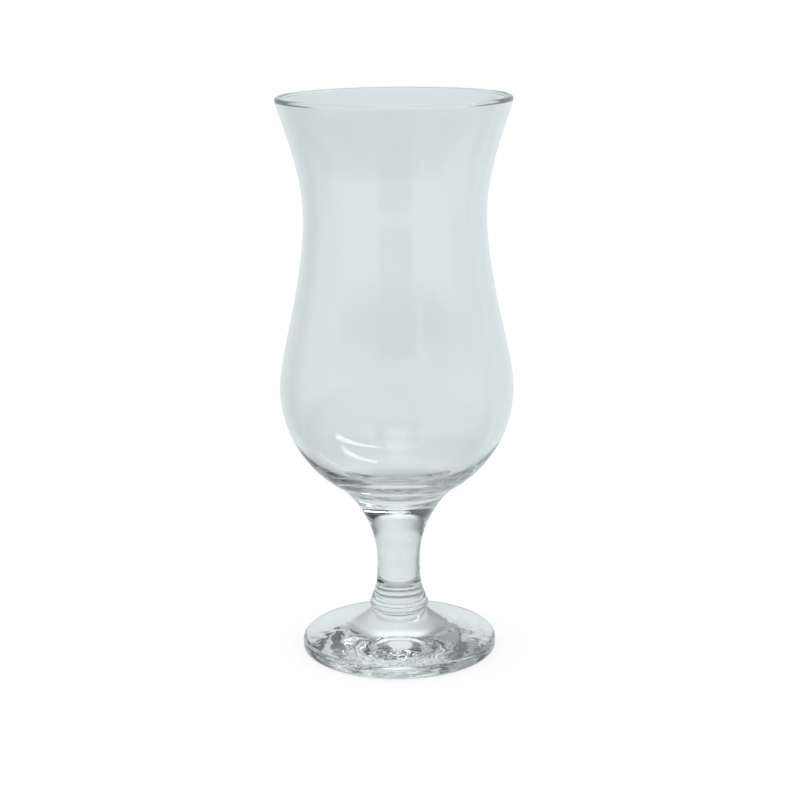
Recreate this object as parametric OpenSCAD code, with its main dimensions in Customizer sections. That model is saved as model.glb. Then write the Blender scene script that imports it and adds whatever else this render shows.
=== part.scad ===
// Hurricane glass: a tall stemmed glass for long drinks, with a round belly,
// a drawn-in waist and a flared mouth, on a short solid stem and a wide foot.
// Four pieces of clear glass, welded hot, face to face, one above the other.
// Every piece is turned about the upright axis. The origin is the middle of the
// face that rests on the table, and all lengths are in millimetres.

/* [Foot] */
// Diameter of the foot
foot_d = 71.6; // [62:0.2:84]
// Height from the table to the top of the foot, where the collar sits
foot_h = 14.8; // [12:0.2:20]
// Height of the foot's edge
foot_edge_h = 4.7; // [3.6:0.1:6]
// Radius that rounds the upper corner of the edge
foot_top_round = 1.8; // [0.8:0.1:2.2]
// Radius that rounds the lower corner of the edge
foot_low_round = 1.1; // [0.6:0.1:1.4]
// Diameter of the flat top of the foot, under the collar
foot_boss_d = 19.4; // [18.6:0.2:22]
// Width of the flat ring that rests on the table
rest_ring_w = 8.4; // [5:0.2:12]
// Depth of the shallow hollow under the foot, at its middle
hollow_depth = 0.4; // [0.2:0.1:2]
// Steepness of the foot's upper face at its edge, in degrees from level
foot_rim_rise = 12; // [6:0.5:16]
// Steepness of the foot's upper face at the collar, in degrees from level
foot_boss_rise = 60; // [46:1:74]
// Length of the gentle slope that starts at the edge of the foot
foot_rim_pull = 11; // [8:0.5:15]
// Length of the steep slope that ends at the collar
foot_boss_pull = 5; // [3:0.5:7]

/* [Collar] */
// Diameter of the collar over its rounded edge
collar_d = 21.8; // [20:0.2:26]
// Height of the collar
collar_h = 3.4; // [2.6:0.1:4.4]

/* [Stem] */
// Height of the solid stem, from the collar to the lowest point of the bowl
stem_h = 38.4; // [30:0.2:60]
// Diameter of the stem just above the collar
stem_base_d = 20; // [18:0.1:22]
// Radius that rounds the lower end of the stem
stem_base_round = 0.8; // [0.3:0.1:1.5]
// Diameter of the stem at its narrowest
stem_waist_d = 15.7; // [12:0.1:18]
// Height of the narrowest part above the collar
stem_waist_h = 15.4; // [13:0.2:19]
// Diameter of the cup on top of the stem, where its edge meets the bowl
stem_cup_d = 43; // [36:0.5:50]
// Lean of the stem's side above the collar, in degrees from upright
stem_base_lean = 24; // [12:1:32]
// Lean of the stem's side at the edge of the cup, in degrees from upright
stem_cup_lean = 52; // [40:1:56]
// Length of the run that leaves the rounded lower end
stem_base_pull = 4.4; // [2:0.2:6]
// Length of the run that comes down into the narrowest part
stem_low_pull = 8; // [4:0.5:10]
// Length of the run that rises out of the narrowest part
stem_high_pull = 12.4; // [8:0.2:14]
// Length of the run that ends at the edge of the cup
stem_cup_pull = 8.4; // [5:0.2:10]

/* [Bowl] */
// Diameter of the bowl at its mouth, over the rounded rim
mouth_d = 83.3; // [76:0.1:90]
// Outer diameter of the waist
waist_d = 65; // [56:0.2:72]
// Outer diameter of the belly
belly_d = 84.4; // [78:0.2:92]
// Height from the widest line of the belly up to the waist
belly_to_waist_h = 63.2; // [54:0.2:74]
// Height from the waist up to the rim
waist_to_rim_h = 41; // [32:0.5:50]
// Thickness of the wall
wall_t = 2; // [1.6:0.1:2.8]
// Thickness of the floor, at its middle
floor_t = 5.2; // [4:0.1:8]
// Roundness of the inside of the bowl below the belly, as a share of its width and depth
inside_round_share = 0.62; // [0.55:0.01:0.64]
// Thickness of the rounded rim
rim_t = 2.4; // [2:0.1:3]
// Lean of the flared wall just under the rim, in degrees from upright
mouth_lean = 13.5; // [6:0.5:20]
// Length of the run that rises from the belly
belly_pull = 12.4; // [8:0.2:18]
// Length of the run that comes up into the waist
waist_low_pull = 24.8; // [16:0.2:30]
// Length of the run that rises out of the waist
waist_high_pull = 16; // [10:0.5:20]
// Length of the run that ends at the rim
mouth_pull = 5.6; // [3:0.2:9]

/* [Hidden] */

// Facets of a turned piece, and steps along a curved stretch of an outline
turn_steps = 180;
curve_steps = 18;
corner_steps = 6;
quarter_turn = 90;

// Heights above the table
stem_z = foot_h + collar_h;
bowl_z = stem_z + stem_h;
belly_z = bowl_z + belly_d / 2;
waist_z = belly_z + belly_to_waist_h;
rim_z = waist_z + waist_to_rim_h;

// The bowl is a ball up to its belly; the stem's cup meets the ball at this angle
// from the lowest point
cup_angle = asin(stem_cup_d / belly_d);
cup_z = belly_z - belly_d / 2 * cos(cup_angle);

// Middle of the rounded rim, seen in section
rim_r = mouth_d / 2 - rim_t / 2;
rim_middle_z = rim_z - rim_t / 2;

// A point or direction at an angle from level, outwards and up
function along(angle, length) = [length * cos(angle), length * sin(angle)];

// A step in the direction that leans outwards from upright
function leaning(lean, length) = [length * sin(lean), length * cos(lean)];

// Point and direction at share t of a curve with two end points and two handles
function curve_at(p, t) =
    pow(1 - t, 3) * p[0] + 3 * pow(1 - t, 2) * t * p[1]
    + 3 * (1 - t) * pow(t, 2) * p[2] + pow(t, 3) * p[3];
function curve_way(p, t) =
    pow(1 - t, 2) * (p[1] - p[0]) + 2 * (1 - t) * t * (p[2] - p[1])
    + pow(t, 2) * (p[3] - p[2]);

// Unit vector to the left of a direction, which is inwards where an outline rises
function left_of(way) = [-way[1], way[0]] / norm(way);

// Points along a curve, shifted sideways towards the axis by a wall's thickness
function curve(p, shift = 0, steps = curve_steps) =
    [for (i = [0:steps])
        let (t = i / steps)
        curve_at(p, t) + shift * left_of(curve_way(p, t))];

// Points of an arc about a middle, with a radius for each direction of the section,
// its angles counted from level
function arc(middle, radii, from, to, steps) =
    [for (i = [0:steps])
        let (a = from + (to - from) * i / steps)
        middle + [radii[0] * cos(a), radii[1] * sin(a)]];

function backwards(points) = [for (i = [len(points) - 1:-1:0]) points[i]];

// The same points without the first, where two stretches share one
function after_first(points) = [for (i = [1:len(points) - 1]) points[i]];

// Underside of the bowl that the stem's cup holds, from the axis to the cup's edge
function seat_points() =
    arc([0, belly_z], [belly_d, belly_d] / 2, -quarter_turn, cup_angle - quarter_turn, curve_steps);

// Side of the bowl in two curves: belly to waist, and waist to rim
function belly_side() = [
    [belly_d / 2, belly_z],
    [belly_d / 2, belly_z + belly_pull],
    [waist_d / 2, waist_z - waist_low_pull],
    [waist_d / 2, waist_z]];
function mouth_end() = [rim_r, rim_middle_z] + along(-mouth_lean, rim_t / 2);
function mouth_side() = [
    [waist_d / 2, waist_z],
    [waist_d / 2, waist_z + waist_high_pull],
    mouth_end() - leaning(mouth_lean, mouth_pull),
    mouth_end()];

// Outside of the bowl from the edge of the cup up to the rim
function bowl_outside() = concat(
    after_first(arc([0, belly_z], [belly_d, belly_d] / 2,
        cup_angle - quarter_turn, 0, curve_steps)),
    after_first(curve(belly_side())),
    after_first(curve(mouth_side())));

// Rounded rim, from the outside of the wall over the top to its inside
function bowl_rim() = after_first(
    arc([rim_r, rim_middle_z], [rim_t, rim_t] / 2,
        -mouth_lean, 2 * quarter_turn - mouth_lean, 3 * corner_steps));

// Inside of the bowl below the belly, down to the middle of the floor
function inside_bottom() =
    let (side = [belly_d / 2 - wall_t, belly_z], floor_z = bowl_z + floor_t)
    [side,
        side + inside_round_share * [0, floor_z - belly_z],
        [inside_round_share * side[0], floor_z],
        [0, floor_z]];

// Inside of the bowl, from under the rim down to the middle of the floor
function bowl_inside() = concat(
    after_first(backwards(curve(mouth_side(), wall_t))),
    after_first(backwards(curve(belly_side(), wall_t))),
    after_first(curve(inside_bottom(), 0, 2 * curve_steps)));

module turned(points) {
    rotate_extrude($fn = turn_steps) polygon(points);
}

// Blown bowl with its rounded rim
module bowl() {
    color([0.86, 0.90, 0.91, 0.45])
        turned(concat(seat_points(), bowl_outside(), bowl_rim(), bowl_inside()));
}

// Solid stem, flared above into the cup that holds the bowl
module stem() {
    round_middle = [stem_base_d / 2 - stem_base_round, stem_z + stem_base_round];
    base_end = round_middle + along(stem_base_lean, stem_base_round);
    low_side = [
        base_end,
        base_end + leaning(-stem_base_lean, stem_base_pull),
        [stem_waist_d / 2, stem_z + stem_waist_h - stem_low_pull],
        [stem_waist_d / 2, stem_z + stem_waist_h]];
    high_side = [
        [stem_waist_d / 2, stem_z + stem_waist_h],
        [stem_waist_d / 2, stem_z + stem_waist_h + stem_high_pull],
        [stem_cup_d / 2, cup_z] - leaning(stem_cup_lean, stem_cup_pull),
        [stem_cup_d / 2, cup_z]];
    color([0.80, 0.86, 0.87, 0.6])
        turned(concat(
            [[0, stem_z]],
            arc(round_middle, [stem_base_round, stem_base_round],
                -quarter_turn, stem_base_lean, corner_steps),
            after_first(curve(low_side)),
            after_first(curve(high_side)),
            after_first(backwards(seat_points()))));
}

// Round-edged collar between the stem and the foot
module collar() {
    round_r = collar_h / 2;
    color([0.74, 0.81, 0.83, 0.7])
        turned(concat(
            [[0, foot_h]],
            arc([collar_d / 2 - round_r, foot_h + round_r], [round_r, round_r],
                -quarter_turn, quarter_turn, 2 * corner_steps),
            [[0, stem_z]]));
}

// Foot: slightly hollow underneath, with a flat ring to rest on and a raised middle
module foot() {
    rest_outer_r = foot_d / 2 - foot_low_round;
    rest_inner_r = rest_outer_r - rest_ring_w;
    hollow = [
        [0, hollow_depth],
        [rest_inner_r / 2, hollow_depth],
        [rest_inner_r / 2, 0],
        [rest_inner_r, 0]];
    top_edge = [foot_d / 2 - foot_top_round, foot_edge_h - foot_top_round];
    slope_start = top_edge + along(quarter_turn - foot_rim_rise, foot_top_round);
    boss_edge = [foot_boss_d / 2, foot_h];
    upper_face = [
        slope_start,
        slope_start + along(2 * quarter_turn - foot_rim_rise, foot_rim_pull),
        boss_edge + along(-foot_boss_rise, foot_boss_pull),
        boss_edge];
    color([0.80, 0.86, 0.87, 0.6])
        turned(concat(
            curve(hollow),
            arc([rest_outer_r, foot_low_round], [foot_low_round, foot_low_round],
                -quarter_turn, 0, corner_steps),
            arc(top_edge, [foot_top_round, foot_top_round],
                0, quarter_turn - foot_rim_rise, corner_steps),
            after_first(curve(upper_face)),
            [[0, foot_h]]));
}

bowl();
stem();
collar();
foot();
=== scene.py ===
"""A hurricane glass on a pale floor: four turned pieces of clear glass, welded hot.

The bowl, stem, collar and foot stand where the frame's solids stand. Each is an outline
that a Geometry Nodes tree turns once about the upright axis. Lengths are in metres.
"""

import logging
import math
from dataclasses import dataclass, field
from enum import Enum
from typing import Any, Mapping, Sequence

import bmesh
import bpy
from mathutils import Matrix, Vector


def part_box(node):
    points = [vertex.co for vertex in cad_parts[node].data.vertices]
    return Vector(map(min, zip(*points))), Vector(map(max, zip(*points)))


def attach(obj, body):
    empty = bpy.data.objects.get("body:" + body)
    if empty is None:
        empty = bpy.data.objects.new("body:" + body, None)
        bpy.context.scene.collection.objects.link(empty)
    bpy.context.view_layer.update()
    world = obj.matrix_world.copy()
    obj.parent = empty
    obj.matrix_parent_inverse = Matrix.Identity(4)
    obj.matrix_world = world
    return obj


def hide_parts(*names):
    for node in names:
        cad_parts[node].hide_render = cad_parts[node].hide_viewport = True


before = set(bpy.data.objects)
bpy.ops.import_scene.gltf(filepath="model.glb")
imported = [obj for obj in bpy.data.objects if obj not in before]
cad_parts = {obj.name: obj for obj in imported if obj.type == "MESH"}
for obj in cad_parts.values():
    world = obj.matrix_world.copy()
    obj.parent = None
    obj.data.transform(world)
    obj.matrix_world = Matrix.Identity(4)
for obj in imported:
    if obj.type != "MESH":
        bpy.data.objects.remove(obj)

log = logging.getLogger("hurricane_glass")

MM = 0.001
QUARTER_TURN = 90.0
HALF_TURN = 180.0
BODY = "root"

# Steps along a curved stretch of an outline, and along a small rounded corner
CURVE_STEPS = 40
CORNER_STEPS = 16
# Steps once round the axis
TURNS = 240
# Points of an outline closer than this are one point
SAME_POINT = 0.002 * MM
# An outline that turns by more than this at a point, in degrees, has a sharp corner there
SHARP_TURN = 18.0
# Clear space between two welded faces, so that neither cuts into the other
WELD_GAP = 0.01 * MM

# Straight up in a section, as radius and height
UP = Vector((0.0, 1.0))
WHITE = (1.0, 1.0, 1.0, 1.0)


def on_axis(height: float) -> Vector:
    """Point of a section on the upright axis."""
    return height * UP


def along(angle: float, length: float) -> Vector:
    """Step of a section at an angle from level.

    Args:
        angle: Degrees, counted from outwards towards up.
        length: Length of the step.

    Returns:
        The step, as radius and height.
    """
    turn = math.radians(angle)
    return Vector((length * math.cos(turn), length * math.sin(turn)))


def leaning(lean: float, length: float) -> Vector:
    """Step of a section that leans outwards from upright.

    Args:
        lean: Degrees from upright.
        length: Length of the step.

    Returns:
        The step, as radius and height.
    """
    return along(QUARTER_TURN - lean, length)


def arc(middle: Vector, radius: float, start: float, end: float, steps: int) -> list[Vector]:
    """Points of an arc in a section.

    Args:
        middle: Middle of the arc.
        radius: Its radius.
        start: First angle in degrees, counted from outwards towards up.
        end: Last angle.
        steps: Number of steps between them.

    Returns:
        The points in order.
    """
    step = (end - start) / steps
    return [middle + along(start + i * step, radius) for i in range(steps + 1)]


@dataclass(frozen=True)
class Bend:
    """A smooth curve of a section, with a handle at each end."""

    start: Vector
    start_handle: Vector
    end_handle: Vector
    end: Vector

    def at(self, share: float) -> Vector:
        """Point at a share of the way along the curve."""
        rest = 1 - share
        return (
            rest**3 * self.start
            + 3 * rest**2 * share * self.start_handle
            + 3 * rest * share**2 * self.end_handle
            + share**3 * self.end
        )

    def inward(self, share: float) -> Vector:
        """Unit vector to the left of the curve, which is inwards where it rises."""
        rest = 1 - share
        way = (
            rest**2 * (self.start_handle - self.start)
            + 2 * rest * share * (self.end_handle - self.start_handle)
            + share**2 * (self.end - self.end_handle)
        )
        return Vector((-way.y, way.x)).normalized()

    def points(self, steps: int = CURVE_STEPS, shift: float = 0.0) -> list[Vector]:
        """Points along the curve.

        Args:
            steps: Number of steps.
            shift: How far the points move inwards, such as by a wall's thickness.

        Returns:
            The points in order.
        """
        shares = [i / steps for i in range(steps + 1)]
        return [self.at(s) + shift * self.inward(s) for s in shares]


class Face(Enum):
    """What a stretch of an outline is on the finished glass."""

    POLISHED = False
    WELDED = True


@dataclass
class Outline:
    """Half of a piece's section, from the axis round the outside and back to the axis."""

    points: list[Vector] = field(default_factory=list)
    welded: list[bool] = field(default_factory=list)

    def add(self, stretch: Sequence[Vector], face: Face = Face.POLISHED) -> "Outline":
        """Carry the outline on along a stretch.

        Args:
            stretch: The points of the stretch in order.
            face: What its faces are.

        Returns:
            The same outline.
        """
        for point in stretch:
            if self.points and (point - self.points[-1]).length < SAME_POINT:
                continue
            if self.points:
                self.welded.append(face.value)
            self.points.append(point.copy())
        return self

    def corners(self) -> list[bool]:
        """Whether the outline turns sharply at each of its points."""
        sharp = [False]
        for before, here, after in zip(self.points, self.points[1:], self.points[2:]):
            sharp.append(math.degrees((here - before).angle(after - here)) > SHARP_TURN)
        return sharp + [False]

    def mesh(self, name: str) -> bpy.types.Mesh:
        """The outline as a chain of edges above the line that points along X.

        Args:
            name: Name of the mesh.

        Returns:
            The mesh, with an attribute for its corners and one for its welded stretches.
        """
        mesh = bpy.data.meshes.new(name)
        last = len(self.points) - 1
        mesh.from_pydata(
            [(p.x, 0.0, p.y) for p in self.points], [(i, i + 1) for i in range(last)], []
        )
        mesh.attributes.new("corner", "BOOLEAN", "POINT").data.foreach_set("value", self.corners())
        mesh.attributes.new("welded", "BOOLEAN", "EDGE").data.foreach_set("value", self.welded)
        return mesh


class Wire:
    """An output of a node. Python's operators join wires and numbers by Math nodes."""

    def __init__(self, maker: "NodeMaker", socket: bpy.types.NodeSocket) -> None:
        """Keep the socket and the maker whose tree it is in."""
        self.maker = maker
        self.socket = socket

    def math(self, operation: str, other: "Wire | float | None" = None) -> "Wire":
        """A Math node on this value, and on a second one where the operation takes two."""
        return self.maker.calculate(operation, self, other)

    def __add__(self, other: "Wire | float") -> "Wire":
        """Sum of two values."""
        return self.math("ADD", other)

    __radd__ = __add__

    def __sub__(self, other: "Wire | float") -> "Wire":
        """This value less another."""
        return self.math("SUBTRACT", other)

    def __rsub__(self, other: float) -> "Wire":
        """A number less this value."""
        return self.maker.calculate("SUBTRACT", other, self)

    def __mul__(self, other: "Wire | float") -> "Wire":
        """Product of two values."""
        return self.math("MULTIPLY", other)

    __rmul__ = __mul__

    def __truediv__(self, other: "Wire | float") -> "Wire":
        """This value over another."""
        return self.math("DIVIDE", other)

    def __rtruediv__(self, other: float) -> "Wire":
        """A number over this value."""
        return self.maker.calculate("DIVIDE", other, self)


class NodeMaker:
    """Adds nodes to a tree, one call for each node."""

    def __init__(self, tree: bpy.types.NodeTree) -> None:
        """Start from an empty tree."""
        self.tree = tree
        tree.nodes.clear()

    @staticmethod
    def _pick(sockets: Any, key: str | int) -> bpy.types.NodeSocket:
        """The socket in use that has a name, or a place among those in use."""
        used = [s for s in sockets if s.enabled]
        if isinstance(key, int):
            return used[key]
        return next(s for s in used if s.name == key)

    def add(
        self,
        kind: str,
        settings: Mapping[str, Any] | None = None,
        sockets: Mapping[str | int, Any] | None = None,
        output: str | int | None = 0,
    ) -> Wire | None:
        """Add one node.

        Args:
            kind: The node's type.
            settings: Its properties, which are set before its sockets.
            sockets: Values or wires of its inputs, by name or by place.
            output: Name or place of the output that is wanted, if it has one.

        Returns:
            That output, or None.
        """
        node = self.tree.nodes.new(kind)
        for name, value in (settings or {}).items():
            setattr(node, name, value)
        for key, value in (sockets or {}).items():
            if value is None:
                continue
            target = self._pick(node.inputs, key)
            if isinstance(value, Wire):
                self.tree.links.new(value.socket, target)
            else:
                target.default_value = value
        if output is None:
            return None
        return Wire(self, self._pick(node.outputs, output))

    def calculate(self, operation: str, first: Any, second: Any = None) -> Wire:
        """A Math node on one or two values.

        Args:
            operation: The node's operation.
            first: First wire or number.
            second: Second one, if the operation takes two.

        Returns:
            The node's output.
        """
        return self.add("ShaderNodeMath", {"operation": operation}, {0: first, 1: second})

    def ramp(self, value: Wire, low: float, high: float, at_low: float, at_high: float) -> Wire:
        """A smooth step of a value from one level to another.

        Args:
            value: The value.
            low: Where the step starts.
            high: Where it ends.
            at_low: Level at and below the start.
            at_high: Level at and above the end.

        Returns:
            The level.
        """
        return self.add(
            "ShaderNodeMapRange",
            {"interpolation_type": "SMOOTHSTEP"},
            {
                "Value": value,
                "From Min": low,
                "From Max": high,
                "To Min": at_low,
                "To Max": at_high,
            },
        )


class TurningTree:
    """A Geometry Nodes tree that turns an outline once about the upright axis."""

    def __init__(self) -> None:
        """Build the tree with its named inputs."""
        self.tree = bpy.data.node_groups.new("turned_glass", "GeometryNodeTree")
        self.maker = NodeMaker(self.tree)
        self.keys: dict[str, str] = {}
        for name, kind in (
            ("Outline", "NodeSocketGeometry"),
            ("Turns", "NodeSocketInt"),
            ("Merge distance", "NodeSocketFloat"),
            ("Glass", "NodeSocketMaterial"),
            ("Weld", "NodeSocketMaterial"),
        ):
            entry = self.tree.interface.new_socket(name, in_out="INPUT", socket_type=kind)
            self.keys[name] = entry.identifier
        self.tree.interface.new_socket(
            "Glass piece", in_out="OUTPUT", socket_type="NodeSocketGeometry"
        )
        given = self.tree.nodes.new("NodeGroupInput")
        self.given = {name: Wire(self.maker, given.outputs[name]) for name in self.keys}
        self._build()

    def _whole(self, operation: str, first: Any, second: Any) -> Wire:
        """An Integer Math node on two whole numbers."""
        return self.maker.add(
            "FunctionNodeIntegerMath", {"operation": operation}, {0: first, 1: second}
        )

    def _of_outline(self, kind: str, domain: str, value: Wire, index: Wire) -> Wire:
        """What the outline holds at a point or an edge.

        Args:
            kind: Data type of the value.
            domain: POINT or EDGE.
            value: The value's own field.
            index: Which point or edge.

        Returns:
            The value there.
        """
        return self.maker.add(
            "GeometryNodeSampleIndex",
            {"data_type": kind, "domain": domain},
            {"Geometry": self.given["Outline"], "Value": value, "Index": index},
        )

    def _flag(self, name: str) -> Wire:
        """A yes or no attribute by its name."""
        return self.maker.add(
            "GeometryNodeInputNamedAttribute", {"data_type": "BOOLEAN"}, {"Name": name}
        )

    def _build(self) -> None:
        """Lay a grid of outline points by turns, bend it round the axis and close it."""
        make = self.maker.add
        turns = self.given["Turns"]
        columns = self._whole("ADD", turns, 1)
        count = make(
            "GeometryNodeAttributeDomainSize",
            {"component": "MESH"},
            {"Geometry": self.given["Outline"]},
            "Point Count",
        )
        skin = make(
            "GeometryNodeMeshGrid", None, {"Vertices X": count, "Vertices Y": columns}, "Mesh"
        )
        index = make("GeometryNodeInputIndex")
        place = self._whole("DIVIDE_FLOOR", index, columns)
        turn = self._whole("MODULO", index, columns)

        corner = self._of_outline("BOOLEAN", "POINT", self._flag("corner"), place)
        skin = self._store(skin, "corner", "POINT", corner)
        stretch = self._whole("DIVIDE_FLOOR", index, turns)
        welded = self._of_outline("BOOLEAN", "EDGE", self._flag("welded"), stretch)
        skin = self._store(skin, "welded", "FACE", welded)

        spot = self._of_outline("FLOAT_VECTOR", "POINT", make("GeometryNodeInputPosition"), place)
        radius = make("ShaderNodeSeparateXYZ", None, {0: spot}, "X")
        height = make("ShaderNodeSeparateXYZ", None, {0: spot}, "Z")
        angle = turn * -math.tau / turns
        bent = make(
            "ShaderNodeCombineXYZ",
            None,
            {
                "X": radius * angle.math("COSINE"),
                "Y": radius * angle.math("SINE"),
                "Z": height,
            },
        )
        skin = make("GeometryNodeSetPosition", None, {"Geometry": skin, "Position": bent})
        skin = make(
            "GeometryNodeMergeByDistance",
            None,
            {"Geometry": skin, "Distance": self.given["Merge distance"]},
        )
        skin = make(
            "GeometryNodeSetShadeSmooth",
            {"domain": "FACE"},
            {"Geometry": skin, "Shade Smooth": True},
        )
        skin = make(
            "GeometryNodeSetShadeSmooth",
            {"domain": "EDGE"},
            {"Geometry": skin, "Selection": self._flag("corner"), "Shade Smooth": False},
        )
        skin = make("GeometryNodeRealizeInstances", None, {"Geometry": skin})
        skin = make(
            "GeometryNodeSetMaterial", None, {"Geometry": skin, "Material": self.given["Glass"]}
        )
        skin = make(
            "GeometryNodeSetMaterial",
            None,
            {"Geometry": skin, "Selection": self._flag("welded"), "Material": self.given["Weld"]},
        )
        make("NodeGroupOutput", None, {0: skin}, None)

    def _store(self, skin: Wire, name: str, domain: str, value: Wire) -> Wire:
        """The mesh with one more yes or no attribute."""
        return self.maker.add(
            "GeometryNodeStoreNamedAttribute",
            {"data_type": "BOOLEAN", "domain": domain},
            {"Geometry": skin, "Name": name, "Value": value},
        )

    def turn(
        self, name: str, outline: Outline, glass: bpy.types.Material, weld: bpy.types.Material
    ) -> bpy.types.Object:
        """Turn one outline into a closed piece.

        Args:
            name: Name of the piece.
            outline: Its section.
            glass: Material of its polished faces.
            weld: Material of its welded faces.

        Returns:
            The piece, a plain mesh at the origin.
        """
        source = bpy.data.objects.new(name + "_outline", outline.mesh(name + "_outline"))
        bpy.context.scene.collection.objects.link(source)
        modifier = source.modifiers.new("turned", "NODES")
        modifier.node_group = self.tree
        modifier[self.keys["Turns"]] = TURNS
        modifier[self.keys["Merge distance"]] = SAME_POINT
        modifier[self.keys["Glass"]] = glass
        modifier[self.keys["Weld"]] = weld
        graph = bpy.context.evaluated_depsgraph_get()
        mesh = bpy.data.meshes.new_from_object(source.evaluated_get(graph), depsgraph=graph)
        bpy.data.objects.remove(source)
        mesh.name = name
        piece = bpy.data.objects.new(name, mesh)
        bpy.context.scene.collection.objects.link(piece)
        return piece


@dataclass(frozen=True)
class ClearGlass:
    """Clear soda glass with the soft waves that blowing and pressing leave on it.

    Attributes:
        name: Name of the material.
        wave_length: Distance from one wave of the surface to the next.
        wave_height: Height of the waves.
        low_wave_length: The same distance on faces close to the table.
        low_wave_height: Height of the waves there, which come on top of the others.
        low_top: Height above the table at which they have died away.
        calm_r: Distance from the axis at which they have their full height. They start
            one wave length closer to it, and the middle is smooth.
        tint: Colour that the glass gives to what is seen through it.
        ior: How strongly it bends light.
        smear: Roughness of the faint smears on it.
        smear_scale: Size of the smears, as noise cells to the metre.
        smear_span: Levels of that noise between which a smear comes up.
    """

    name: str
    wave_length: float
    wave_height: float
    low_wave_length: float = 7.5 * MM
    low_wave_height: float = 0.0
    low_top: float = 3 * MM
    calm_r: float = 18 * MM
    tint: tuple[float, float, float] = (0.985, 0.995, 0.995)
    ior: float = 1.52
    smear: float = 0.012
    smear_scale: float = 90.0
    smear_span: tuple[float, float] = (0.55, 0.75)

    def material(self) -> bpy.types.Material:
        """Build the material.

        Returns:
            The material, which reads Object coordinates only.
        """
        material = bpy.data.materials.new(self.name)
        material.use_nodes = True
        maker = NodeMaker(material.node_tree)
        place = maker.add("ShaderNodeTexCoord", None, None, "Object")
        waves = maker.add(
            "ShaderNodeTexNoise",
            None,
            {"Vector": place, "Scale": 1 / self.wave_length, "Detail": 1.0, "Roughness": 0.4},
        )
        height = waves * self.wave_height
        if self.low_wave_height:
            height = height + self.low_waves(maker, place)
        normal = maker.add(
            "ShaderNodeBump", None, {"Strength": 1.0, "Distance": 1.0, "Height": height}
        )
        smears = maker.add(
            "ShaderNodeTexNoise",
            None,
            {"Vector": place, "Scale": self.smear_scale, "Detail": 3.0, "Distortion": 1.2},
        )
        faint = maker.ramp(smears, *self.smear_span, 0.0, self.smear)
        colour = maker.add(
            "ShaderNodeMix", {"data_type": "RGBA"}, {"Factor": waves, "A": (*self.tint, 1.0), "B": WHITE}
        )
        shader = maker.add(
            "ShaderNodeBsdfPrincipled",
            None,
            {
                "Base Color": colour,
                "Roughness": faint,
                "IOR": self.ior,
                "Transmission Weight": 1.0,
                "Normal": normal,
            },
        )
        maker.add("ShaderNodeOutputMaterial", None, {"Surface": shader}, None)
        return material

    def low_waves(self, maker: NodeMaker, place: Wire) -> Wire:
        """Height of the wrinkles that the mould leaves on faces close to the table.

        Args:
            maker: Maker of the material's tree.
            place: Object coordinates.

        Returns:
            The height, in metres.
        """
        wrinkles = maker.add(
            "ShaderNodeTexNoise",
            None,
            {"Vector": place, "Scale": 1 / self.low_wave_length, "Detail": 1.6, "Roughness": 0.5},
        )
        above = maker.add("ShaderNodeSeparateXYZ", None, {0: place}, "Z")
        out = maker.add("ShaderNodeVectorMath", {"operation": "LENGTH"}, {0: place}, "Value")
        low = maker.ramp(above, 0.0, self.low_top, self.low_wave_height, 0.0)
        outer = maker.ramp(out, self.calm_r - self.low_wave_length, self.calm_r, 0.0, 1.0)
        return wrinkles * low * outer


@dataclass(frozen=True)
class WeldedFace:
    """A face inside the glass where two pieces are melted into one: nothing shows there."""

    name: str = "glass_weld"

    def material(self) -> bpy.types.Material:
        """Build the material."""
        material = bpy.data.materials.new(self.name)
        material.use_nodes = True
        maker = NodeMaker(material.node_tree)
        clear = maker.add("ShaderNodeBsdfTransparent", None, {"Color": WHITE})
        maker.add("ShaderNodeOutputMaterial", None, {"Surface": clear}, None)
        return material


@dataclass
class Levels:
    """Heights and widths that the pieces share, taken from the frame's solids."""

    foot_d: float
    foot_h: float
    collar_d: float
    stem_z: float
    bowl_z: float
    belly_d: float
    rim_z: float

    @classmethod
    def from_frame(cls) -> "Levels":
        """Read the boxes of the frame's four solids.

        Returns:
            The levels, in metres above the table.
        """
        foot_low, foot_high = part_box("foot")
        collar_low, collar_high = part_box("collar")
        bowl_low, bowl_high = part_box("bowl")
        return cls(
            foot_d=foot_high[0] - foot_low[0],
            foot_h=foot_high[2],
            collar_d=collar_high[0] - collar_low[0],
            stem_z=collar_high[2],
            bowl_z=bowl_low[2],
            belly_d=bowl_high[0] - bowl_low[0],
            rim_z=bowl_high[2],
        )

    @property
    def belly_r(self) -> float:
        """Outer radius of the belly, which is also the radius of the ball below it."""
        return self.belly_d / 2

    @property
    def belly_z(self) -> float:
        """Height of the widest line of the belly."""
        return self.bowl_z + self.belly_r


@dataclass
class Workshop:
    """What every piece is made with: the tree that turns outlines, and the weld's finish."""

    levels: Levels
    tree: TurningTree
    weld: bpy.types.Material

    def make(self, name: str, node: str, outline: Outline, finish: ClearGlass) -> bpy.types.Object:
        """Turn a piece, dress it and stand it in for its solid in the frame.

        Args:
            name: Name of the piece.
            node: The frame's solid that it stands for.
            outline: Its section.
            finish: Its glass.

        Returns:
            The piece.
        """
        piece = self.tree.turn(name, outline, finish.material(), self.weld)
        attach(piece, BODY)
        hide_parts(node)
        return piece


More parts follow.
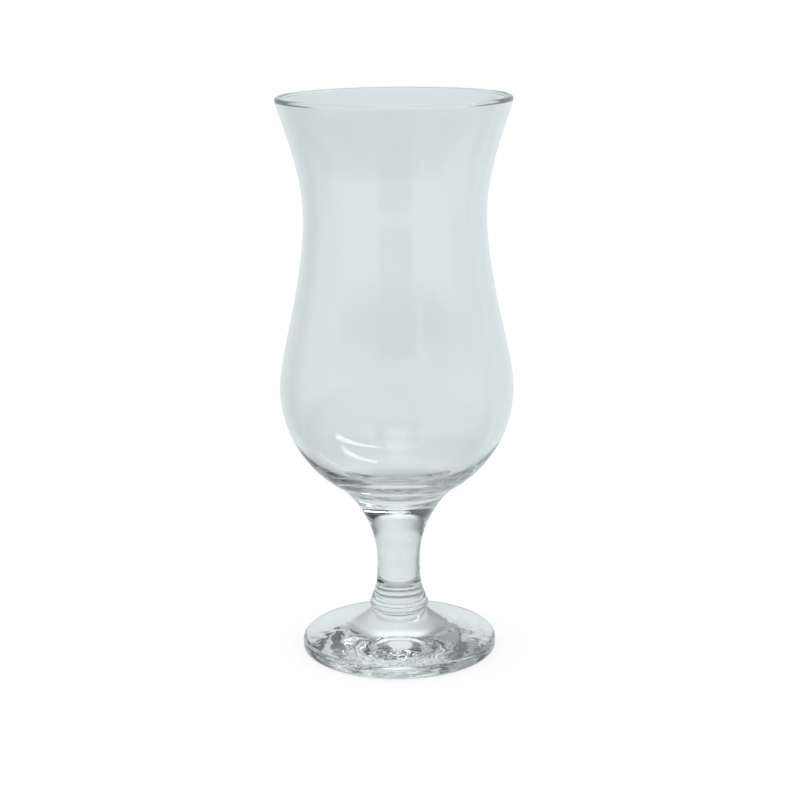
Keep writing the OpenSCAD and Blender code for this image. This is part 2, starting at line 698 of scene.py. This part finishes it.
@dataclass
class Bowl:
    """The blown bowl: round belly, drawn-in waist, flared mouth and melted rim."""

    shop: Workshop
    mouth_d: float = 83.3 * MM
    waist_d: float = 65 * MM
    belly_to_waist_h: float = 63.2 * MM
    wall_t: float = 2 * MM
    floor_t: float = 5.2 * MM
    rim_t: float = 2.4 * MM
    cup_d: float = 43 * MM
    mouth_lean: float = 13.5
    belly_pull: float = 12.4 * MM
    waist_low_pull: float = 24.8 * MM
    waist_high_pull: float = 16 * MM
    mouth_pull: float = 5.6 * MM
    inside_round_share: float = 0.62
    finish: ClearGlass = ClearGlass("glass_bowl", wave_length=22 * MM, wave_height=0.01 * MM)

    @property
    def cup_angle(self) -> float:
        """Degrees from the ball's lowest point to the edge of the stem's cup."""
        return math.degrees(math.asin(self.cup_d / self.shop.levels.belly_d))

    def seat(self, drop: float = 0.0) -> list[Vector]:
        """Underside of the bowl that the stem's cup holds, from the axis to the cup's edge.

        Args:
            drop: How far below the bowl's own face the points lie.

        Returns:
            The points in order.
        """
        levels = self.shop.levels
        middle = on_axis(levels.belly_z - drop)
        end = self.cup_angle - QUARTER_TURN
        return arc(middle, levels.belly_r, -QUARTER_TURN, end, CURVE_STEPS)

    def sides(self) -> tuple[Bend, Bend]:
        """Outside of the wall in two curves: belly to waist, and waist to rim."""
        levels = self.shop.levels
        waist_z = levels.belly_z + self.belly_to_waist_h
        waist = Vector((self.waist_d / 2, waist_z))
        belly = Vector((levels.belly_r, levels.belly_z))
        lip = self.lip_middle() + along(-self.mouth_lean, self.rim_t / 2)
        below_lip = lip - leaning(self.mouth_lean, self.mouth_pull)
        return (
            Bend(belly, belly + self.belly_pull * UP, waist - self.waist_low_pull * UP, waist),
            Bend(waist, waist + self.waist_high_pull * UP, below_lip, lip),
        )

    def lip_middle(self) -> Vector:
        """Middle of the rounded rim, seen in section."""
        return Vector(((self.mouth_d - self.rim_t) / 2, self.shop.levels.rim_z - self.rim_t / 2))

    def inside_bottom(self) -> list[Vector]:
        """Inside of the bowl from the belly down to the middle of its floor."""
        levels = self.shop.levels
        side = Vector((levels.belly_r - self.wall_t, levels.belly_z))
        floor = on_axis(levels.bowl_z + self.floor_t)
        down = self.inside_round_share * (floor.y - side.y) * UP
        out = Vector((self.inside_round_share * side.x, 0.0))
        return Bend(side, side + down, floor + out, floor).points(2 * CURVE_STEPS)

    def outline(self) -> Outline:
        """Section of the bowl."""
        levels = self.shop.levels
        belly, mouth = self.sides()
        start = self.cup_angle - QUARTER_TURN
        ball = arc(on_axis(levels.belly_z), levels.belly_r, start, 0.0, CURVE_STEPS)
        rim = arc(
            self.lip_middle(),
            self.rim_t / 2,
            -self.mouth_lean,
            HALF_TURN - self.mouth_lean,
            2 * CORNER_STEPS,
        )
        outline = Outline().add(self.seat(), Face.WELDED).add(ball)
        outline.add(belly.points()).add(mouth.points()).add(rim)
        outline.add(mouth.points(shift=self.wall_t)[-2::-1])
        outline.add(belly.points(shift=self.wall_t)[::-1])
        return outline.add(self.inside_bottom())

    def build(self) -> bpy.types.Object:
        """Make the bowl."""
        return self.shop.make("bowl_glass", "bowl", self.outline(), self.finish)


@dataclass
class Stem:
    """The short solid stem, flared above into the cup that holds the bowl."""

    shop: Workshop
    bowl: Bowl
    base_d: float = 20 * MM
    base_round: float = 0.8 * MM
    waist_d: float = 15.7 * MM
    waist_h: float = 15.4 * MM
    base_lean: float = 24
    cup_lean: float = 52
    base_pull: float = 4.4 * MM
    low_pull: float = 8 * MM
    high_pull: float = 12.4 * MM
    cup_pull: float = 8.4 * MM
    finish: ClearGlass = ClearGlass("glass_stem", wave_length=14 * MM, wave_height=0.008 * MM)

    def outline(self) -> Outline:
        """Section of the stem."""
        low_z = self.shop.levels.stem_z + WELD_GAP
        seat = self.bowl.seat(WELD_GAP)
        cup = seat[-1]
        middle = Vector((self.base_d / 2 - self.base_round, low_z + self.base_round))
        base_round = arc(middle, self.base_round, -QUARTER_TURN, self.base_lean, CORNER_STEPS)
        base = base_round[-1]
        above_base = base + leaning(-self.base_lean, self.base_pull)
        waist = Vector((self.waist_d / 2, self.shop.levels.stem_z + self.waist_h))
        low = Bend(base, above_base, waist - self.low_pull * UP, waist)
        below_cup = cup - leaning(self.cup_lean, self.cup_pull)
        high = Bend(waist, waist + self.high_pull * UP, below_cup, cup)
        outline = Outline().add([on_axis(low_z), base_round[0]], Face.WELDED)
        outline.add(base_round).add(low.points()).add(high.points())
        return outline.add(seat[::-1], Face.WELDED)

    def build(self) -> bpy.types.Object:
        """Make the stem."""
        return self.shop.make("stem_glass", "stem", self.outline(), self.finish)


@dataclass
class Collar:
    """The round-edged button of glass between the stem and the foot."""

    shop: Workshop
    finish: ClearGlass = ClearGlass("glass_collar", wave_length=9 * MM, wave_height=0.004 * MM)

    def outline(self) -> Outline:
        """Section of the collar, welded where the stem and the foot meet it."""
        levels = self.shop.levels
        low = levels.foot_h + WELD_GAP
        round_r = (levels.stem_z - low) / 2
        middle = Vector((levels.collar_d / 2 - round_r, low + round_r))
        edge = arc(middle, round_r, -QUARTER_TURN, QUARTER_TURN, 3 * CORNER_STEPS)
        outline = Outline().add([on_axis(low), edge[0]], Face.WELDED).add(edge)
        return outline.add([on_axis(levels.stem_z)], Face.WELDED)

    def build(self) -> bpy.types.Object:
        """Make the collar."""
        return self.shop.make("collar_glass", "collar", self.outline(), self.finish)


@dataclass
class Foot:
    """The wide foot with its rounded edge, raised middle and slightly hollow underside."""

    shop: Workshop
    boss_d: float = 19.4 * MM
    edge_h: float = 4.7 * MM
    top_round: float = 1.8 * MM
    low_round: float = 1.1 * MM
    rest_ring_w: float = 8.4 * MM
    hollow_depth: float = 0.4 * MM
    rim_rise: float = 12
    boss_rise: float = 60
    rim_pull: float = 11 * MM
    boss_pull: float = 5 * MM
    finish: ClearGlass = ClearGlass(
        "glass_foot", wave_length=12 * MM, wave_height=0.02 * MM, low_wave_height=0.3 * MM
    )

    def outline(self) -> Outline:
        """Section of the foot."""
        levels = self.shop.levels
        rest_outer_r = levels.foot_d / 2 - self.low_round
        rest_inner_r = rest_outer_r - self.rest_ring_w
        hollow = Bend(
            on_axis(self.hollow_depth),
            Vector((rest_inner_r / 2, self.hollow_depth)),
            Vector((rest_inner_r / 2, 0.0)),
            Vector((rest_inner_r, 0.0)),
        )
        low_middle = Vector((rest_outer_r, self.low_round))
        low_edge = arc(low_middle, self.low_round, -QUARTER_TURN, 0.0, CORNER_STEPS)
        top_middle = Vector((levels.foot_d / 2 - self.top_round, self.edge_h - self.top_round))
        top_end = QUARTER_TURN - self.rim_rise
        top_edge = arc(top_middle, self.top_round, 0.0, top_end, CORNER_STEPS)
        boss = Vector((self.boss_d / 2, levels.foot_h))
        slope = Bend(
            top_edge[-1],
            top_edge[-1] + along(HALF_TURN - self.rim_rise, self.rim_pull),
            boss + along(-self.boss_rise, self.boss_pull),
            boss,
        )
        outline = Outline().add(hollow.points()).add(low_edge).add(top_edge).add(slope.points())
        return outline.add([on_axis(levels.foot_h)], Face.WELDED)

    def build(self) -> bpy.types.Object:
        """Make the foot."""
        return self.shop.make("foot_glass", "foot", self.outline(), self.finish)


@dataclass(frozen=True)
class Patch:
    """A soft-edged part of the studio round the glass, as the glass shows it.

    Attributes:
        azimuth: Middle of the patch in degrees, 0 behind the glass and 90 to its right.
        half_width: Degrees from its middle to its sides, 180 where it goes all round.
        low: Elevation of its lower edge, in degrees.
        high: Elevation of its upper edge, 90 where it reaches straight up.
        tone: Brightness of the patch.
        soft: Width of its soft sides, in degrees.
        fade: Width of its soft lower and upper edges.
    """

    azimuth: float
    half_width: float
    low: float
    high: float
    tone: float
    soft: float = 8.0
    fade: float = 16.0


@dataclass
class Studio:
    """Pale floor, soft even light and the surroundings that the glass shows.

    Attributes:
        floor_size: Length of the floor's sides.
        floor_drop: How far the floor lies below the glass, so that the two don't touch.
        floor_tone: Colour of the floor, as a grey.
        floor_glow: Strength of the white that lies over most of it.
        tint: Colour of all that the glass shows.
        shaded_table_tone: Brightness of the table under the glass, as the glass shows it: painted shade,
            darker for the glass's own shadow there.
        table_edge: Elevations between which the table gives way to the room, in degrees.
        side_tone: Brightness of the room round the glass, where no patch covers it.
        shadow_share: How much of the glass's soft shadow shows on the floor.
        patches: Lighter and darker parts of the surroundings, each laid over those before it.
    """

    floor_size: float = 0.9
    floor_drop: float = 0.1 * MM
    floor_tone: float = 0.95
    floor_glow: float = 1.05
    tint: tuple[float, float, float] = (0.937, 1.02, 1.035)
    # Painted shade: the table under the glass, darkened for the glass's own shadow
    shaded_table_tone: float = 0.43
    table_edge: tuple[float, float] = (-60, -25)
    side_tone: float = 0.13
    shadow_share: float = 0.25
    patches: tuple[Patch, ...] = (
        # Pale walls all round, and the darker end of the left one
        Patch(0, 180, -34, 8, 0.6, 8, 10),
        Patch(-72, 26, -52, 8, 0.33, 20, 16),
        # Lit table and backdrop behind the glass, and the backdrop's brightest part
        Patch(16, 56, -42, 2, 0.7, 46, 28),
        Patch(6, 30, -52, 52, 0.8, 56, 40),
        Patch(0, 25, 27, 46, 1.05, 16, 14),
        # Dark parts above eye height on the right and left, and a paler one at that height
        Patch(110, 36, 8, 52, 0.02, 16, 8),
        Patch(-56, 10, 8, 30, 0.1, 8, 10),
        Patch(-90, 22, -10, 14, 0.5, 16, 12),
        # The room in front, from above eye height down to its floor
        Patch(175, 16, 8, 30, 0.12, 16, 12),
        Patch(175, 16, -32, 8, 0.45, 16, 12),
        Patch(180, 22, -44, -19, 0.1, 8, 6),
        # A wide lamp high in front, the backdrop's top, the ceiling and a narrow lamp
        Patch(180, 26, 58, 78, 1.3, 12, 8),
        Patch(0, 24, 40, 74, 0.85, 12, 10),
        Patch(0, 180, 78, 90, 0.9, 8, 8),
        Patch(75, 5, 40, 88, 7, 5, 5),
    )

    def tone(self, maker: NodeMaker, way: Wire) -> Wire:
        """Brightness of the surroundings in a direction.

        Args:
            maker: Maker of the tree that asks.
            way: The direction, as a vector of length one.

        Returns:
            The brightness.
        """
        x, y, z = (maker.add("ShaderNodeSeparateXYZ", None, {0: way}, axis) for axis in "XYZ")
        elevation = z.math("ARCSINE") * (HALF_TURN / math.pi)
        # Painted shade: straight below, the glass shows the table darkened by its own shadow, giving way
        # to the room's tone
        tone = maker.ramp(elevation, *self.table_edge, self.shaded_table_tone, self.side_tone)
        for patch in self.patches:
            turn = math.radians(patch.azimuth)
            side = x * math.cos(turn) - y * math.sin(turn)
            ahead = x * math.sin(turn) + y * math.cos(turn)
            off = side.math("ARCTAN2", ahead).math("ABSOLUTE") * (HALF_TURN / math.pi)
            wide, soft, fade = patch.half_width, patch.soft / 2, patch.fade / 2
            share = maker.ramp(elevation, patch.low - fade, patch.low + fade, 0.0, 1.0)
            if wide < HALF_TURN:
                share = share * maker.ramp(off, wide - soft, wide + soft, 1.0, 0.0)
            if patch.high < QUARTER_TURN:
                top = maker.ramp(elevation, patch.high - fade, patch.high + fade, 1.0, 0.0)
                share = share * top
            tone = tone + share * (patch.tone - tone)
        return tone

    def coloured(self, maker: NodeMaker, tone: Wire) -> Wire:
        """A tone in the surroundings' own tint."""
        parts = dict(enumerate(tone * part for part in self.tint))
        return maker.add("ShaderNodeCombineColor", None, parts)

    @staticmethod
    def seen_by(maker: NodeMaker) -> tuple[Wire, Wire]:
        """Whether a surface is seen straight, and whether it is seen in or through the glass.

        Args:
            maker: Maker of the tree that asks.

        Returns:
            The share for the camera's own view, and the share for that view and for all
            that glossy and clear surfaces show.
        """
        camera = maker.add("ShaderNodeLightPath", None, None, "Is Camera Ray")
        glossy = maker.add("ShaderNodeLightPath", None, None, "Is Glossy Ray")
        through = maker.add("ShaderNodeLightPath", None, None, "Is Transmission Ray")
        return camera, camera.math("MAXIMUM", glossy.math("MAXIMUM", through))

    def light(self) -> bpy.types.World:
        """Build the world.

        Returns:
            The world: white where it is seen straight, even on the floor, and the
            studio's own tones where it is seen in or through the glass.
        """
        world = bpy.data.worlds.new("studio")
        world.use_nodes = True
        maker = NodeMaker(world.node_tree)
        way = maker.add("ShaderNodeTexCoord", None, None, "Generated")
        colour = self.coloured(maker, self.tone(maker, way))
        camera, shown = self.seen_by(maker)
        surround = maker.add("ShaderNodeBackground", None, {"Color": colour, "Strength": 1.0})
        plain = maker.add("ShaderNodeBackground", None, {"Color": WHITE, "Strength": 1.0})
        seen = maker.add("ShaderNodeMixShader", None, {0: camera, 1: surround, 2: plain})
        light = maker.add("ShaderNodeMixShader", None, {0: shown, 1: plain, 2: seen})
        maker.add("ShaderNodeOutputWorld", None, {"Surface": light}, None)
        bpy.context.scene.world = world
        return world

    def floor_material(self) -> bpy.types.Material:
        """Build the floor's finish.

        Returns:
            The material: white with the glass's soft shadow where it is seen straight.
            In and through the glass the surroundings show instead of it.
        """
        material = bpy.data.materials.new("pale_floor")
        material.use_nodes = True
        maker = NodeMaker(material.node_tree)
        camera, shown = self.seen_by(maker)
        place = maker.add("ShaderNodeTexCoord", None, None, "Object")
        grain = maker.add(
            "ShaderNodeTexNoise", None, {"Vector": place, "Scale": 400.0, "Detail": 2.0}
        )
        rough = maker.ramp(grain, low=0.3, high=0.7, at_low=0.75, at_high=0.9)
        grey = (self.floor_tone, self.floor_tone, self.floor_tone, 1.0)
        matte = maker.add(
            "ShaderNodeBsdfPrincipled",
            None,
            {"Base Color": grey, "Roughness": rough, "Specular IOR Level": 0.0},
        )
        white = maker.add(
            "ShaderNodeEmission", None, {"Color": WHITE, "Strength": self.floor_glow}
        )
        clear = maker.add("ShaderNodeBsdfTransparent", None, {"Color": WHITE})
        bright = maker.add("ShaderNodeMixShader", None, {0: self.shadow_share, 1: white, 2: matte})
        seen = maker.add("ShaderNodeMixShader", None, {0: camera, 1: clear, 2: bright})
        light = maker.add("ShaderNodeMixShader", None, {0: shown, 1: matte, 2: seen})
        maker.add("ShaderNodeOutputMaterial", None, {"Surface": light}, None)
        return material

    def build(self) -> bpy.types.Object:
        """Lay the floor and light it.

        Returns:
            The floor.
        """
        self.light()
        mesh = bpy.data.meshes.new("floor")
        form = bmesh.new()
        bmesh.ops.create_grid(form, x_segments=8, y_segments=8, size=self.floor_size / 2)
        bmesh.ops.translate(form, verts=form.verts, vec=(0.0, 0.0, -self.floor_drop))
        form.to_mesh(mesh)
        form.free()
        floor = bpy.data.objects.new("floor", mesh)
        floor.data.materials.append(self.floor_material())
        bpy.context.scene.collection.objects.link(floor)
        return floor


@dataclass
class Viewpoint:
    """The camera, where the photograph was taken from.

    Attributes:
        picture_width: Width of the picture, in pixels.
        focal_pixels: Focal length, in the same pixels.
        film_width: Width of the camera's film, in millimetres.
        away: Level distance from the glass's axis to the camera.
        sideways: How far the camera stands to the right of that axis.
        height: Height of the camera above the table.
        pitch: How far it looks down, in degrees.
        roll: How far it is tipped to its side, in degrees.
        nearest: Distance closer than which it shows nothing.
    """

    picture_width: float = 792.0
    focal_pixels: float = 1815.1
    film_width: float = 36.0
    away: float = 0.6382
    sideways: float = -0.00032
    height: float = 0.2526
    pitch: float = 13.85
    roll: float = -0.62
    nearest: float = 10 * MM

    def build(self) -> bpy.types.Object:
        """Place the camera and make it the scene's own.

        Returns:
            The camera.
        """
        data = bpy.data.cameras.new("camera")
        data.sensor_fit = "HORIZONTAL"
        data.sensor_width = self.film_width
        data.lens = self.film_width * self.focal_pixels / self.picture_width
        data.clip_start = self.nearest
        camera = bpy.data.objects.new("camera", data)
        look_down = Matrix.Rotation(math.radians(QUARTER_TURN - self.pitch), 4, "X")
        tip = Matrix.Rotation(math.radians(self.roll), 4, "Z")
        place = Matrix.Translation((self.sideways, -self.away, self.height))
        camera.matrix_world = place @ look_down @ tip
        bpy.context.scene.collection.objects.link(camera)
        bpy.context.scene.camera = camera
        return camera


@dataclass(frozen=True)
class Settings:
    """How far light is followed through the glass, and how colours are shown."""

    bounces: int = 256
    clear_bounces: int = 32

    def apply(self) -> None:
        """Set them on the scene."""
        scene = bpy.context.scene
        scene.view_settings.view_transform = "Standard"
        scene.cycles.max_bounces = self.bounces
        scene.cycles.transmission_bounces = self.bounces
        scene.cycles.glossy_bounces = self.bounces
        scene.cycles.transparent_max_bounces = self.clear_bounces


def glass_volume(piece: bpy.types.Object) -> float:
    """Volume that a piece's faces enclose.

    Args:
        piece: The piece.

    Returns:
        The volume in millilitres, above zero where the faces point outwards.
    """
    form = bmesh.new()
    form.from_mesh(piece.data)
    volume = form.calc_volume(signed=True)
    form.free()
    return volume / (10 * MM) ** 3


def main() -> None:
    """Build the glass piece by piece, then its floor, light and camera."""
    logging.basicConfig(level=logging.INFO, format="%(name)s: %(message)s")
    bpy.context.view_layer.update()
    Settings().apply()
    Viewpoint().build()
    shop = Workshop(Levels.from_frame(), TurningTree(), WeldedFace().material())
    bowl = Bowl(shop)
    for part in (bowl, Stem(shop, bowl), Collar(shop), Foot(shop)):
        piece = part.build()
        faces = len(piece.data.polygons)
        log.info("%s: %d faces, %.2f ml of glass", piece.name, faces, glass_volume(piece))
    floor = Studio().build()
    log.info("%s laid under the glass", floor.name)


if __name__ == "__main__":
    main()
